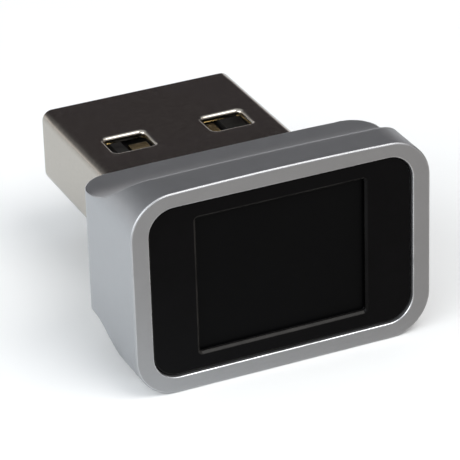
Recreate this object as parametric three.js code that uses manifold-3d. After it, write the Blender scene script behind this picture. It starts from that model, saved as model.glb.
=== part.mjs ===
// USB fingerprint reader: a cast housing on a USB-A plug, with a touch sensor set into its front face.
// Millimetres. X is the plug's width, +Y points out of the plug, the sensor looks towards -Y, +Z is up.
// The origin is the middle of the object's box, at the bottom face of the housing.

import * as THREE from 'three';
import { mergeVertices } from 'three/addons/utils/BufferGeometryUtils.js';
import Module from 'manifold-3d';

const wasm = await Module();
wasm.setup();

// ---------------------------------------------------------------- driving dimensions

// Housing: a rounded block with a finger cove across its top and another across its underside.
const HOUSING_W = 17.7;
const HOUSING_H = 12.1;
const HOUSING_D = 7.55;
const PLUG_EXPOSED = 12.65;
const OVERALL_D = HOUSING_D + PLUG_EXPOSED;
const FRONT_Y = -OVERALL_D / 2;
const REAR_Y = FRONT_Y + HOUSING_D;
const TIP_Y = OVERALL_D / 2;
const AXIS_Z = HOUSING_H / 2;
const CORNER_R = 2.45;
const ARCH_RISE = 0.1;
const FRONT_CHAMFER = 0.07;
const REAR_PLAN_R = 1.6;

// Coves: a flat floor at the rear that curves up to a crest behind the front rim.
const RIM_D = 2.2;
const TOP_COVE = { floorZ: AXIS_Z + 4.03, radius: 5.5 };
const BOTTOM_COVE = { floorZ: AXIS_Z - 3.38, radius: 3.97 };

// Openings inside the housing, from the front to the rear.
const WINDOW = { w: 15.6, h: 10.2, r: 1.5 };
const WINDOW_D = 1.25;
const BOARD_BAY = { w: 14.2, h: 9.3, r: 0.9 };
const BOARD_BAY_END = 2.13;
const PLUG_BAY = { w: 13.4, zLow: AXIS_Z - 2.7, zHigh: AXIS_Z + 3.5, r: 0.6 };
const REAR_WALL = 0.7;

// Bezel and sensor stack. Depths are measured back from the housing's front face.
const FIT = 0.05;
const BEZEL_RECESS = 0.2;
const BEZEL_RIM_T = 0.25;
const BEZEL_BACK = 1.1;
const SENSOR_WINDOW = { w: 10.0, h: 8.1, r: 0.15 };
const SENSOR_POCKET = { w: 11.3, h: 9.2, r: 0.3 };
const GASKET_T = 0.1;
const COVER_T = 0.12;
const PACKAGE = { w: 11.1, h: 9.0, r: 0.2, depth: 0.4 };
const DIE = { w: 9.6, h: 7.6, t: 0.25 };
const SUBSTRATE_T = 0.2;
const BOARD = { w: 13.8, h: 8.8, r: 0.6, t: 0.8 };
const STACK_GAP = 0.02;

// Plug: a folded steel shell round a moulded insulator with four contacts.
const PLUG_W = 12.0;
const PLUG_H = 4.5;
const SHELL_T = 0.3;
const SHELL_R = 0.62;
const SHELL_REAR_Y = REAR_Y - 3.65;
const LATCH_WINDOW = { w: 2.56, l: 2.0, x: 3.05, setback: 5.2, r: 0.3 };
const TONGUE_TOP = 0.15;
const TONGUE_SETBACK = 0.35;
const TONGUE_L = 9.3;
const GROOVE = { w: 1.8, depth: 0.4, setback: 1.2 };
const CONTACT_W = 1.15;
const CONTACT_T = 0.25;
const CONTACTS = [
  { name: 'contact_vbus', x: -3.5, setback: 1.8 },
  { name: 'contact_data_minus', x: -1.0, setback: 2.2 },
  { name: 'contact_data_plus', x: 1.0, setback: 2.2 },
  { name: 'contact_ground', x: 3.5, setback: 1.8 },
];

// Cutting tools run this far past the face that they open.
const PAST = 1;

const CORNER_STEPS = 8;
const SMALL_CORNER_STEPS = 4;
const COVE_STEPS = 16;

// ---------------------------------------------------------------- materials

const finish = (color, roughness, metalness) => ({ color, roughness, metalness });
const SATIN_CHROME = finish(0xa3a3a6, 0.35, 1.0);
const DARK_NICKEL = finish(0x8e8a86, 0.22, 1.0);
const GLOSS_BLACK = finish(0x0b0a0c, 0.12, 0.0);
const SENSOR_BLACK = finish(0x121214, 0.45, 0.0);
const RUBBER_BLACK = finish(0x171717, 0.9, 0.0);
const MOULDED_BLACK = finish(0x1d1b1c, 0.6, 0.0);
const SILICON = finish(0x3b3f52, 0.2, 0.4);
const EPOXY = finish(0x191919, 0.55, 0.0);
const LAMINATE = finish(0x2c4a2c, 0.5, 0.0);
const SOLDER_MASK = finish(0x14492b, 0.4, 0.0);
const CERAMIC_TAN = finish(0x9b8163, 0.6, 0.0);
const CERAMIC_BLACK = finish(0x222226, 0.5, 0.0);
const STEEL_CAN = finish(0xbfc1c4, 0.3, 1.0);
const SPRING_COPPER = finish(0xb78a5a, 0.3, 1.0);
const GOLD = finish(0xb8923f, 0.3, 1.0);

// ---------------------------------------------------------------- geometry helpers

// Turns a drawing in X and Z into a bar along Y, or one in Y and Z into a bar along X.
const ALONG_Y = new THREE.Matrix4().makeBasis(
  new THREE.Vector3(1, 0, 0),
  new THREE.Vector3(0, 0, 1),
  new THREE.Vector3(0, -1, 0),
);
const ALONG_X = new THREE.Matrix4().makeBasis(
  new THREE.Vector3(0, 1, 0),
  new THREE.Vector3(0, 0, 1),
  new THREE.Vector3(1, 0, 0),
);

function toSolid(geometry) {
  const bare = geometry.index ? geometry.toNonIndexed() : geometry.clone();
  bare.deleteAttribute('normal');
  bare.deleteAttribute('uv');
  const merged = mergeVertices(bare, 1e-5);
  const mesh = new wasm.Mesh({
    numProp: 3,
    vertProperties: new Float32Array(merged.attributes.position.array),
    triVerts: new Uint32Array(merged.index.array),
  });
  return new wasm.Manifold(mesh);
}

function toGeometry(solid) {
  const mesh = solid.getMesh();
  const geometry = new THREE.BufferGeometry();
  geometry.setAttribute('position', new THREE.BufferAttribute(new Float32Array(mesh.vertProperties), 3));
  geometry.setIndex(new THREE.BufferAttribute(new Uint32Array(mesh.triVerts), 1));
  geometry.computeVertexNormals();
  return geometry;
}

function extruded(shape, depth, steps, bevel = 0) {
  return new THREE.ExtrudeGeometry(shape, {
    depth: depth - 2 * bevel,
    curveSegments: steps,
    bevelEnabled: bevel > 0,
    bevelThickness: bevel,
    bevelSize: bevel,
    bevelOffset: -bevel,
    bevelSegments: 1,
  }).translate(0, 0, bevel);
}

// A bar along Y between two places, from a shape drawn in X and Z.
function barY(shape, yFront, yRear, steps = SMALL_CORNER_STEPS, bevel = 0) {
  const geometry = extruded(shape, yRear - yFront, steps, bevel).applyMatrix4(ALONG_Y);
  return toSolid(geometry.translate(0, yRear, 0));
}

// A bar along X centred on x, from a shape drawn in Y and Z.
function barX(shape, x, width, steps = SMALL_CORNER_STEPS) {
  const geometry = extruded(shape, width, steps).applyMatrix4(ALONG_X);
  return toSolid(geometry.translate(x - width / 2, 0, 0));
}

// A bar along Z between two heights, from a shape drawn in X and Y.
function barZ(shape, zLow, zHigh, steps = SMALL_CORNER_STEPS) {
  return toSolid(extruded(shape, zHigh - zLow, steps).translate(0, 0, zLow));
}

function box(xLow, xHigh, yLow, yHigh, zLow, zHigh) {
  const geometry = new THREE.BoxGeometry(xHigh - xLow, yHigh - yLow, zHigh - zLow);
  geometry.translate((xLow + xHigh) / 2, (yLow + yHigh) / 2, (zLow + zHigh) / 2);
  return toSolid(geometry);
}

// A rectangle with round corners, centred on (cx, cy) of its own drawing plane.
function roundedRect(width, height, radius, cx = 0, cy = 0) {
  const x = width / 2 - radius;
  const y = height / 2 - radius;
  const shape = new THREE.Shape();
  shape.absarc(cx + x, cy + y, radius, 0, Math.PI / 2);
  shape.absarc(cx - x, cy + y, radius, Math.PI / 2, Math.PI);
  shape.absarc(cx - x, cy - y, radius, Math.PI, Math.PI * 1.5);
  shape.absarc(cx + x, cy - y, radius, Math.PI * 1.5, Math.PI * 2);
  shape.closePath();
  return shape;
}

// The housing's outline: straight sides, round corners, a flat underside and a top that bows out slightly.
function housingOutline() {
  const x = HOUSING_W / 2 - CORNER_R;
  const upperZ = HOUSING_H - CORNER_R - ARCH_RISE;
  const archR = (x * x + ARCH_RISE * ARCH_RISE) / (2 * ARCH_RISE);
  const lean = Math.asin(x / archR);
  const up = Math.PI / 2;
  const shape = new THREE.Shape();
  shape.absarc(x, upperZ, CORNER_R, 0, up - lean);
  shape.absarc(0, HOUSING_H - archR, archR, up - lean, up + lean);
  shape.absarc(-x, upperZ, CORNER_R, up + lean, Math.PI);
  shape.absarc(-x, CORNER_R, CORNER_R, Math.PI, Math.PI * 1.5);
  shape.absarc(x, CORNER_R, CORNER_R, Math.PI * 1.5, Math.PI * 2);
  shape.closePath();
  return shape;
}

// Everything a cove takes away, drawn in Y and Z. side is 1 for the top cove and -1 for the lower one.
function coveOutline(cove, side) {
  const crestY = FRONT_Y + RIM_D;
  const outerZ = AXIS_Z + (side * HOUSING_H) / 2;
  const centreZ = cove.floorZ + side * cove.radius;
  const steepest = Math.acos(Math.abs(centreZ - outerZ) / cove.radius);
  const centreY = crestY + cove.radius * Math.sin(steepest);
  const shape = new THREE.Shape();
  shape.moveTo(crestY, outerZ + side * PAST);
  for (let i = 0; i <= COVE_STEPS; i += 1) {
    const lean = steepest * (1 - i / COVE_STEPS);
    shape.lineTo(centreY - cove.radius * Math.sin(lean), centreZ - side * cove.radius * Math.cos(lean));
  }
  shape.lineTo(REAR_Y + PAST, cove.floorZ);
  shape.lineTo(REAR_Y + PAST, outerZ + side * PAST);
  shape.closePath();
  return shape;
}

// ---------------------------------------------------------------- assembly

const reader = new THREE.Group();

function addPart(name, solid, look) {
  const mesh = new THREE.Mesh(toGeometry(solid), new THREE.MeshStandardMaterial(look));
  mesh.name = name;
  reader.add(mesh);
  return mesh;
}

const centred = (size) => roundedRect(size.w, size.h, size.r, 0, AXIS_Z);
const ring = (outer, inner, yFront, yRear) => (
  barY(centred(outer), yFront, yRear, CORNER_STEPS)
    .subtract(barY(centred(inner), yFront - PAST, yRear + PAST, CORNER_STEPS))
);
const shrunk = (size, by) => ({ w: size.w - 2 * by, h: size.h - 2 * by, r: size.r - by });

const ledgeY = FRONT_Y + WINDOW_D;

// Housing: one metal casting, open at the front, with a close opening for the plug in its rear wall.
function makeHousing() {
  // The block runs past the rear face, so that only its front edge keeps the chamfer.
  const block = barY(housingOutline(), FRONT_Y, REAR_Y + PAST, CORNER_STEPS, FRONT_CHAMFER);

  // Seen from above, the rear corners are round and the rest is trimmed only at the rear face.
  const cornerX = HOUSING_W / 2 - REAR_PLAN_R;
  const cornerY = REAR_Y - REAR_PLAN_R;
  const plan = new THREE.Shape();
  plan.moveTo(-HOUSING_W, FRONT_Y - PAST);
  plan.lineTo(HOUSING_W, FRONT_Y - PAST);
  plan.lineTo(HOUSING_W, cornerY);
  plan.absarc(cornerX, cornerY, REAR_PLAN_R, 0, Math.PI / 2);
  plan.absarc(-cornerX, cornerY, REAR_PLAN_R, Math.PI / 2, Math.PI);
  plan.lineTo(-HOUSING_W, cornerY);
  plan.closePath();
  const planBar = barZ(plan, -PAST, HOUSING_H + PAST, CORNER_STEPS);
  const coveWidth = HOUSING_W + 2 * PAST;
  const topCove = barX(coveOutline(TOP_COVE, 1), 0, coveWidth);
  const bottomCove = barX(coveOutline(BOTTOM_COVE, -1), 0, coveWidth);

  const bayEndY = FRONT_Y + BOARD_BAY_END;
  const window = barY(centred(WINDOW), FRONT_Y - PAST, ledgeY, CORNER_STEPS);
  const boardBay = barY(centred(BOARD_BAY), ledgeY - PAST, bayEndY, CORNER_STEPS);
  const bayH = PLUG_BAY.zHigh - PLUG_BAY.zLow;
  const bayZ = (PLUG_BAY.zHigh + PLUG_BAY.zLow) / 2;
  const bayOutline = roundedRect(PLUG_BAY.w, bayH, PLUG_BAY.r, 0, bayZ);
  const plugBay = barY(bayOutline, bayEndY - PAST, REAR_Y - REAR_WALL);
  const plugHole = roundedRect(PLUG_W + 2 * FIT, PLUG_H + 2 * FIT, SHELL_R + FIT, 0, AXIS_Z);
  return block
    .intersect(planBar)
    .subtract(topCove)
    .subtract(bottomCove)
    .subtract(window)
    .subtract(boardBay)
    .subtract(plugBay)
    .subtract(barY(plugHole, REAR_Y - REAR_WALL - PAST, REAR_Y + PAST, CORNER_STEPS));
}

addPart('housing_shell', makeHousing(), SATIN_CHROME);

// Bezel: glossy frame that closes the front, with a rebate behind its window for the sensor.
const bezelFront = FRONT_Y + BEZEL_RECESS;
const bezelRimBack = bezelFront + BEZEL_RIM_T;
const bezelBack = FRONT_Y + BEZEL_BACK;
const bezel = ring(shrunk(WINDOW, FIT), SENSOR_WINDOW, bezelFront, bezelBack)
  .subtract(barY(centred(SENSOR_POCKET), bezelRimBack, bezelBack + PAST));
addPart('front_bezel', bezel, GLOSS_BLACK);

// Adhesive frame between the bezel's back and the ledge inside the housing.
const adhesiveOuter = shrunk(WINDOW, 2 * FIT);
const adhesiveInner = shrunk(BOARD_BAY, -FIT);
addPart('bezel_adhesive', ring(adhesiveOuter, adhesiveInner, bezelBack, ledgeY), RUBBER_BLACK);

// Sensor stack: seal, hard cover, moulded package with the die in its pocket, and laminate substrate.
const gasketBack = bezelRimBack + GASKET_T;
const gasketInner = shrunk(SENSOR_WINDOW, -FIT);
addPart('sensor_gasket', ring(PACKAGE, gasketInner, bezelRimBack, gasketBack), RUBBER_BLACK);

const coverBack = gasketBack + COVER_T;
addPart('sensor_cover', barY(centred(PACKAGE), gasketBack, coverBack), SENSOR_BLACK);

const packageBack = coverBack + PACKAGE.depth;
const dieBack = coverBack + STACK_GAP + DIE.t;
const diePocketBack = dieBack + STACK_GAP;
const moulding = barY(centred(PACKAGE), coverBack, packageBack)
  .subtract(box(
    -DIE.w / 2 - FIT,
    DIE.w / 2 + FIT,
    coverBack - PAST,
    diePocketBack,
    AXIS_Z - DIE.h / 2 - FIT,
    AXIS_Z + DIE.h / 2 + FIT,
  ));
addPart('sensor_package', moulding, EPOXY);
addPart('sensor_die', box(
  -DIE.w / 2,
  DIE.w / 2,
  coverBack + STACK_GAP,
  dieBack,
  AXIS_Z - DIE.h / 2,
  AXIS_Z + DIE.h / 2,
), SILICON);

const substrateBack = packageBack + SUBSTRATE_T;
addPart('sensor_substrate', barY(centred(PACKAGE), packageBack, substrateBack), LAMINATE);

// Circuit board: stands upright behind the sensor, held against the step inside the housing.
const boardBack = FRONT_Y + BOARD_BAY_END - STACK_GAP;
const boardFront = boardBack - BOARD.t;
addPart('sensor_board', barY(centred(BOARD), boardFront, boardBack), SOLDER_MASK);

// Parts on the board's back. Each is w wide in X, h high in Z, t tall off the board, at (x, z) from the axis.
const CHIPS = [
  { name: 'usb_controller', x: -3.6, z: 1.75, w: 3.0, h: 3.0, t: 0.75, r: 0.08, look: EPOXY },
  { name: 'flash_memory', x: -0.6, z: 1.75, w: 2.0, h: 3.0, t: 0.6, r: 0.08, look: EPOXY },
  { name: 'crystal', x: 2.0, z: 2.45, w: 2.0, h: 1.6, t: 0.5, r: 0.25, look: STEEL_CAN },
];
const LEADED_CHIPS = [
  { name: 'voltage_regulator', x: 4.6, z: 1.75, w: 1.2, h: 2.8, t: 0.95, r: 0.05, leads: 3, look: EPOXY },
  { name: 'esd_suppressor', x: 2.0, z: 0.85, w: 1.2, h: 1.1, t: 0.55, r: 0.05, leads: 2, look: EPOXY },
];
const PASSIVE = { l: 1.0, w: 0.5, cap: 0.22, step: 0.03 };
const CAPACITORS = [
  { x: -6.1, z: 1.3, upright: true },
  { x: -6.1, z: 2.6, upright: true },
  { x: 6.1, z: 1.3, upright: true },
  { x: 6.1, z: 2.6, upright: true },
  { x: -4.4, z: -2.1, upright: false },
  { x: 4.4, z: -2.1, upright: false },
];
const RESISTORS = [-2.6, -0.9, 0.9, 2.6].map((x) => ({ x, z: -2.1, upright: false }));
const CAPACITOR_T = 0.5;
const RESISTOR_T = 0.35;
const LEAD = { w: 0.3, reach: 0.2, t: 0.15 };
const partBase = boardBack + STACK_GAP;

for (const chip of CHIPS) {
  const outline = roundedRect(chip.w, chip.h, chip.r, chip.x, AXIS_Z + chip.z);
  addPart(chip.name, barY(outline, partBase, partBase + chip.t), chip.look);
}

// A moulded body with a row of flat leads along each side.
for (const chip of LEADED_CHIPS) {
  const outline = roundedRect(chip.w, chip.h, chip.r, chip.x, AXIS_Z + chip.z);
  let solid = barY(outline, partBase, partBase + chip.t);
  const pitch = chip.h / chip.leads;
  for (let i = 0; i < chip.leads; i += 1) {
    const z = AXIS_Z + chip.z - chip.h / 2 + pitch * (i + 0.5);
    const reach = chip.w / 2 + LEAD.reach;
    solid = solid.add(box(
      chip.x - reach,
      chip.x + reach,
      partBase,
      partBase + LEAD.t,
      z - LEAD.w / 2,
      z + LEAD.w / 2,
    ));
  }
  addPart(chip.name, solid, chip.look);
}

// A small ceramic block with a slightly proud metal cap at each end.
function makePassive(place, height) {
  const halfL = PASSIVE.l / 2;
  const halfW = PASSIVE.w / 2;
  const slim = PASSIVE.step;
  const block = (from, to, inset) => {
    const across = [-halfW + inset, halfW - inset];
    const [xs, zs] = place.upright ? [across, [from, to]] : [[from, to], across];
    return box(
      place.x + xs[0],
      place.x + xs[1],
      partBase,
      partBase + height - inset,
      AXIS_Z + place.z + zs[0],
      AXIS_Z + place.z + zs[1],
    );
  };
  return block(-halfL, -halfL + PASSIVE.cap, 0)
    .add(block(-halfL, halfL, slim))
    .add(block(halfL - PASSIVE.cap, halfL, 0));
}

CAPACITORS.forEach((place, i) => {
  addPart(`capacitor_${i + 1}`, makePassive(place, CAPACITOR_T), CERAMIC_TAN);
});
RESISTORS.forEach((place, i) => {
  addPart(`resistor_${i + 1}`, makePassive(place, RESISTOR_T), CERAMIC_BLACK);
});

// Carrier: moulded collar that centres the plug in the housing, notched on top for the grounding spring.
const CARRIER_OVERHANG = 0.4;
const carrierFront = SHELL_REAR_Y - CARRIER_OVERHANG;
const carrierRear = REAR_Y - REAR_WALL - FIT;
const NOTCH = { w: 3.2, overlap: 0.1 };
function makeCarrier() {
  const width = PLUG_BAY.w - 2 * FIT;
  const height = PLUG_BAY.zHigh - PLUG_BAY.zLow - 2 * FIT;
  const centreZ = (PLUG_BAY.zHigh + PLUG_BAY.zLow) / 2;
  const collar = barY(roundedRect(width, height, PLUG_BAY.r - FIT, 0, centreZ), carrierFront, carrierRear);
  const bore = roundedRect(PLUG_W + FIT, PLUG_H + FIT, SHELL_R + FIT / 2, 0, AXIS_Z);
  const notchLow = AXIS_Z + PLUG_H / 2 - NOTCH.overlap;
  return collar
    .subtract(barY(bore, carrierFront - PAST, carrierRear + PAST, CORNER_STEPS))
    .subtract(box(
      -NOTCH.w / 2,
      NOTCH.w / 2,
      carrierFront - PAST,
      carrierRear + PAST,
      notchLow,
      HOUSING_H,
    ));
}

addPart('plug_carrier', makeCarrier(), MOULDED_BLACK);

// Grounding spring: a bent leaf that joins the plug's shell to the metal housing above it.
const SPRING = { w: 3.0, t: 0.15, foot: 0.45, top: 0.4, frontGap: 0.2 };
function makeSpring() {
  const low = AXIS_Z + PLUG_H / 2 + STACK_GAP;
  const high = PLUG_BAY.zHigh - STACK_GAP;
  const front = carrierFront + SPRING.frontGap;
  const rear = carrierRear - FIT;
  const middle = (front + rear) / 2;
  const lean = SPRING.t / 2;
  const shape = new THREE.Shape();
  shape.moveTo(front, low);
  shape.lineTo(front + SPRING.foot + lean, low);
  shape.lineTo(middle - SPRING.top / 2 + lean, high - SPRING.t);
  shape.lineTo(middle + SPRING.top / 2 - lean, high - SPRING.t);
  shape.lineTo(rear - SPRING.foot - lean, low);
  shape.lineTo(rear, low);
  shape.lineTo(rear, low + SPRING.t);
  shape.lineTo(rear - SPRING.foot, low + SPRING.t);
  shape.lineTo(middle + SPRING.top / 2, high);
  shape.lineTo(middle - SPRING.top / 2, high);
  shape.lineTo(front + SPRING.foot, low + SPRING.t);
  shape.lineTo(front, low + SPRING.t);
  shape.closePath();
  return barX(shape, 0, SPRING.w);
}

addPart('grounding_spring', makeSpring(), SPRING_COPPER);

// Plug shell: a steel tube with two latch windows on top, two underneath, and two legs to the board.
const SHELL_BEVEL = 0.15;
const SHELL_LEG = { h: 1.4, overlap: 0.5 };
function makeShell() {
  const outer = roundedRect(PLUG_W, PLUG_H, SHELL_R, 0, AXIS_Z);
  const inner = roundedRect(PLUG_W - 2 * SHELL_T, PLUG_H - 2 * SHELL_T, SHELL_R - SHELL_T, 0, AXIS_Z);
  let solid = barY(outer, SHELL_REAR_Y, TIP_Y, CORNER_STEPS, SHELL_BEVEL)
    .subtract(barY(inner, SHELL_REAR_Y - PAST, TIP_Y + PAST, CORNER_STEPS));
  for (const side of [-1, 1]) {
    const windowY = TIP_Y - LATCH_WINDOW.setback - LATCH_WINDOW.l / 2;
    const windowX = side * LATCH_WINDOW.x;
    const opening = roundedRect(LATCH_WINDOW.w, LATCH_WINDOW.l, LATCH_WINDOW.r, windowX, windowY);
    const skin = PLUG_H / 2 - SHELL_T / 2;
    solid = solid
      .subtract(barZ(opening, AXIS_Z + skin - SHELL_T, AXIS_Z + skin + SHELL_T))
      .subtract(barZ(opening, AXIS_Z - skin - SHELL_T, AXIS_Z - skin + SHELL_T));
    const legInner = side * (PLUG_W / 2 - SHELL_T);
    const legOuter = side * PLUG_W / 2;
    solid = solid.add(box(
      Math.min(legInner, legOuter),
      Math.max(legInner, legOuter),
      partBase,
      SHELL_REAR_Y + SHELL_LEG.overlap,
      AXIS_Z - SHELL_LEG.h / 2,
      AXIS_Z + SHELL_LEG.h / 2,
    ));
  }
  return solid;
}

addPart('plug_shell', makeShell(), DARK_NICKEL);

// Insulator: a tongue with four grooves, and a block at the rear that fills the shell.
const INSULATOR_OVERHANG = 0.1;
const insulatorRear = SHELL_REAR_Y - INSULATOR_OVERHANG;
const insulatorTip = TIP_Y - TONGUE_SETBACK;
const grooveFloor = AXIS_Z + TONGUE_TOP - GROOVE.depth;
function makeInsulator() {
  const gap = SHELL_T + STACK_GAP;
  const section = roundedRect(PLUG_W - 2 * gap, PLUG_H - 2 * gap, SHELL_R - SHELL_T, 0, AXIS_Z);
  const tongueRoot = insulatorTip - TONGUE_L;
  let solid = barY(section, insulatorRear, insulatorTip)
    .subtract(box(-PLUG_W, PLUG_W, tongueRoot, TIP_Y + PAST, AXIS_Z + TONGUE_TOP, AXIS_Z + PLUG_H));
  for (const contact of CONTACTS) {
    const halfGroove = GROOVE.w / 2;
    const halfSlot = CONTACT_W / 2 + STACK_GAP;
    const slotTop = grooveFloor + CONTACT_T + 2 * STACK_GAP;
    const grooveTip = TIP_Y - GROOVE.setback;
    solid = solid
      .subtract(box(
        contact.x - halfGroove,
        contact.x + halfGroove,
        tongueRoot,
        grooveTip,
        grooveFloor,
        AXIS_Z + TONGUE_TOP + PAST,
      ))
      .subtract(box(
        contact.x - halfSlot,
        contact.x + halfSlot,
        insulatorRear - PAST,
        tongueRoot + PAST,
        grooveFloor,
        slotTop,
      ));
  }
  return solid;
}

addPart('plug_insulator', makeInsulator(), MOULDED_BLACK);

// Contacts: flat strips in the tongue's grooves, each with a foot turned down onto the board.
const FOOT_L = 1.3;
const TIP_EASE = 0.12;
for (const contact of CONTACTS) {
  const low = grooveFloor + STACK_GAP;
  const high = low + CONTACT_T;
  const tip = TIP_Y - contact.setback;
  const shape = new THREE.Shape();
  shape.moveTo(partBase, high - FOOT_L);
  shape.lineTo(partBase + CONTACT_T, high - FOOT_L);
  shape.lineTo(partBase + CONTACT_T, low);
  shape.lineTo(tip, low);
  shape.lineTo(tip, high - TIP_EASE);
  shape.lineTo(tip - TIP_EASE, high);
  shape.lineTo(partBase, high);
  shape.closePath();
  addPart(contact.name, barX(shape, contact.x, CONTACT_W), GOLD);
}

export default reader;
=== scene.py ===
import math

import bmesh
import bpy
import numpy as np
from mathutils import Matrix, Vector


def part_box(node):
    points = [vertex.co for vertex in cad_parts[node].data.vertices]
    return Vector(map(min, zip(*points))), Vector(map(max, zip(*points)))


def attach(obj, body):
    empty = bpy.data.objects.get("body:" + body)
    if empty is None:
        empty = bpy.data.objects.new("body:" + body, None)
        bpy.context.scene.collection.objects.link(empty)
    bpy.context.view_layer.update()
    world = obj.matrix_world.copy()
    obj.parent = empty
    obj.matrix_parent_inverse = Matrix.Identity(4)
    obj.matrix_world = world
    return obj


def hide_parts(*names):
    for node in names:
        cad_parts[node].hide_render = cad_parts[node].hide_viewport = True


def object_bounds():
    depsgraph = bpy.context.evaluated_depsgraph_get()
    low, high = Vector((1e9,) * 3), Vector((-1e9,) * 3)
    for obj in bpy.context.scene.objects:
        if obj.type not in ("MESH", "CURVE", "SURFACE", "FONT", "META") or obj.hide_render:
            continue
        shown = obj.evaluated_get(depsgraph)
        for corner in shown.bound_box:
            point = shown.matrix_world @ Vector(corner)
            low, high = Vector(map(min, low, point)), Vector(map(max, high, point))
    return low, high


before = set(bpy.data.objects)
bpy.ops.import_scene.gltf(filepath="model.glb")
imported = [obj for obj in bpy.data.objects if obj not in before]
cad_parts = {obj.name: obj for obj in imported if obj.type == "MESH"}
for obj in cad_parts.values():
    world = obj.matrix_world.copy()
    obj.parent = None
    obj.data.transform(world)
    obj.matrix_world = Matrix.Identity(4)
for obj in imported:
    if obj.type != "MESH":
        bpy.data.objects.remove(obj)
cad_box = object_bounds()

# ---------------------------------------------------------------- camera
# The camera stands in front of the reader, to its left and above it, and leans by a hair.

MM = 0.001
VIEW_AZIMUTH = math.radians(-23.861)
VIEW_ELEVATION = math.radians(27.429)
VIEW_ROLL = math.radians(-1.776)
VIEW_DISTANCE = 171.76 * MM
VIEW_RIGHT = 1.273 * MM
VIEW_UP = -2.102 * MM
LENS = 237.7
FILM_WIDTH = 36.0


def away(azimuth, elevation):
    """The direction from the reader towards something at that azimuth and elevation."""
    flat = math.cos(elevation)
    return Vector((math.sin(azimuth) * flat, -math.cos(azimuth) * flat, math.sin(elevation)))


def link_object(name, data):
    """An object that shows the data in the scene."""
    made = bpy.data.objects.new(name, data)
    bpy.context.scene.collection.objects.link(made)
    return made


centre = (cad_box[0] + cad_box[1]) / 2
back = away(VIEW_AZIMUTH, VIEW_ELEVATION)
level_right = Vector((math.cos(VIEW_AZIMUTH), math.sin(VIEW_AZIMUTH), 0))
level_up = back.cross(level_right)
right = level_right * math.cos(VIEW_ROLL) + level_up * math.sin(VIEW_ROLL)
up = level_up * math.cos(VIEW_ROLL) - level_right * math.sin(VIEW_ROLL)

camera_data = bpy.data.cameras.new("camera")
camera_data.lens = LENS
camera_data.sensor_width = FILM_WIDTH
camera_data.clip_start = 10 * MM
camera = link_object("camera", camera_data)
turned = Matrix((right, up, back)).transposed().to_4x4()
place = centre + back * VIEW_DISTANCE + right * VIEW_RIGHT + up * VIEW_UP
camera.matrix_world = Matrix.Translation(place) @ turned
bpy.context.scene.camera = camera

# ---------------------------------------------------------------- studio
# A pale floor under soft boxes at the front and the left. What the metal mirrors is uneven: the floor is
# dimmer in front and to the right, as if dark card lay there, and the room behind is dark except low down.

FLOOR_SIZE = 4000 * MM
FLOOR_SHOWN = (0.96, 0.957, 0.95, 1)
FLOOR_DIM = (0.455, 0.43, 0.407, 1)
FLOOR_BRIGHT = (0.9, 0.93, 0.95, 1)
FLOOR_FADE = (-30 * MM, 15 * MM)
FLOOR_SPECULAR = 0.1
FIBRE_SCALE = 900.0
FIBRE_ROUGH = (0.75, 0.95)
ROOM_DARK = (0.05, 0.0455, 0.0515, 1)
ROOM_LIGHT = (0.62, 0.65, 0.68, 1)
ROOM_LOW = (1.25, 1.24, 1.26, 1)
ROOM_SHOWN = (0.9, 0.9, 0.9, 1)
LIGHT_SIDE = (-0.75, -0.65, 0)
LIGHT_SIDE_FADE = (-0.55, 0.3)
CEILING_FADE = (0.55, 0.95)
LOW_FADE = (0.26, 0.04)


def node(tree, kind, settings=None, **inputs):
    """Adds a node. Each input is a value, or the socket that feeds it."""
    made = tree.nodes.new(kind)
    for key, value in (settings or {}).items():
        setattr(made, key, value)
    for key, value in inputs.items():
        socket = made.inputs[key.replace("_", " ")]
        if isinstance(value, bpy.types.NodeSocket):
            tree.links.new(value, socket)
        else:
            socket.default_value = value
    return made


def combine(tree, operation, first, second):
    """What a Math node makes of two sockets."""
    made = node(tree, "ShaderNodeMath", {"operation": operation})
    tree.links.new(first, made.inputs[0])
    tree.links.new(second, made.inputs[1])
    return made.outputs[0]


def fade(tree, value, ends):
    """A smooth step from 0 to 1 as the value goes from the first end to the second."""
    made = node(
        tree,
        "ShaderNodeMapRange",
        {"interpolation_type": "SMOOTHSTEP"},
        Value=value,
        From_Min=ends[0],
        From_Max=ends[1],
    )
    return made.outputs["Result"]


floor_mesh = bpy.data.meshes.new("floor")
half = FLOOR_SIZE / 2
floor_mesh.from_pydata(
    [(-half, -half, 0), (half, -half, 0), (half, half, 0), (-half, half, 0)], [], [(0, 1, 2, 3)]
)
floor_paper = bpy.data.materials.new("floor_paper")
floor_paper.use_nodes = True
tree = floor_paper.node_tree
paper = tree.nodes["Principled BSDF"]
paper.inputs["Specular IOR Level"].default_value = FLOOR_SPECULAR
spot = node(tree, "ShaderNodeTexCoord").outputs["Object"]
apart = node(tree, "ShaderNodeSeparateXYZ", Vector=spot)
leftwards = combine(tree, "SUBTRACT", apart.outputs["Y"], apart.outputs["X"])
side = fade(tree, leftwards, FLOOR_FADE)
mirrored = node(tree, "ShaderNodeMixRGB", Fac=side, Color1=FLOOR_DIM, Color2=FLOOR_BRIGHT)
straight = node(tree, "ShaderNodeLightPath").outputs["Is Camera Ray"]
tone = node(tree, "ShaderNodeMixRGB", Fac=straight, Color1=mirrored.outputs[0], Color2=FLOOR_SHOWN)
tree.links.new(tone.outputs[0], paper.inputs["Base Color"])
fibre = node(tree, "ShaderNodeTexNoise", Vector=spot, Scale=FIBRE_SCALE)
rough = node(
    tree, "ShaderNodeMapRange", Value=fibre.outputs["Fac"], To_Min=FIBRE_ROUGH[0], To_Max=FIBRE_ROUGH[1]
)
tree.links.new(rough.outputs["Result"], paper.inputs["Roughness"])
floor_mesh.materials.append(floor_paper)
link_object("floor", floor_mesh)

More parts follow.
